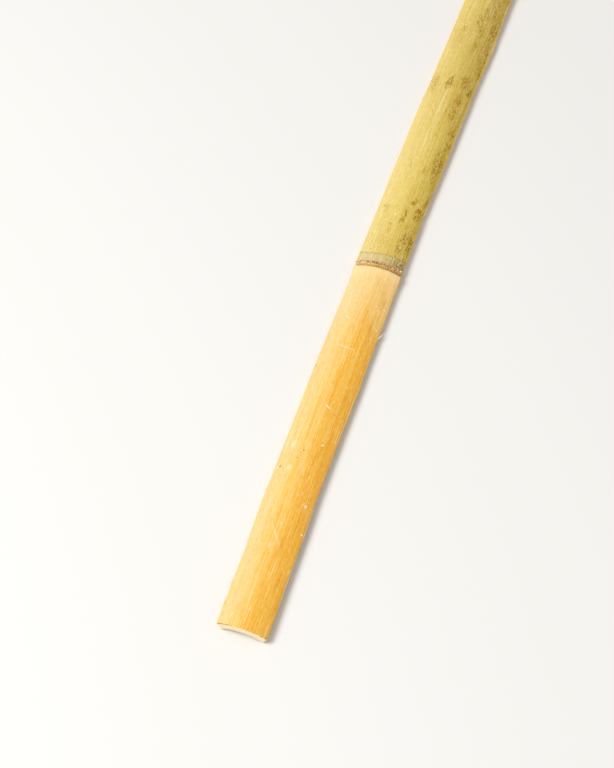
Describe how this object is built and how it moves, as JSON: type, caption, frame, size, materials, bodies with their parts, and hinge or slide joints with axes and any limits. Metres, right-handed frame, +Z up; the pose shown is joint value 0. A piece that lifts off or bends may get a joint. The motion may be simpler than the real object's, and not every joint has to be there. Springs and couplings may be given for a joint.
{
  "type": "bamboo slat",
  "caption": "Long arched slat split from a bamboo culm, skin side up, with raised node rings, split edges, stumps of the node partitions underneath and sawn ends.",
  "frame": {"origin": "on the surface that the slat lies on, under the middle of its length and width", "axes": "+X along the grain, up the culm to the tip end; +Z up, out of the skin; +Y across the slat"},
  "size_m": [1.001, 0.0478, 0.0113],
  "materials": {
    "bamboo": "satin skin, matt split edges and inside"
  },
  "bodies": {
    "root": {"slat": "bamboo"}
  },
  "joints": []
}
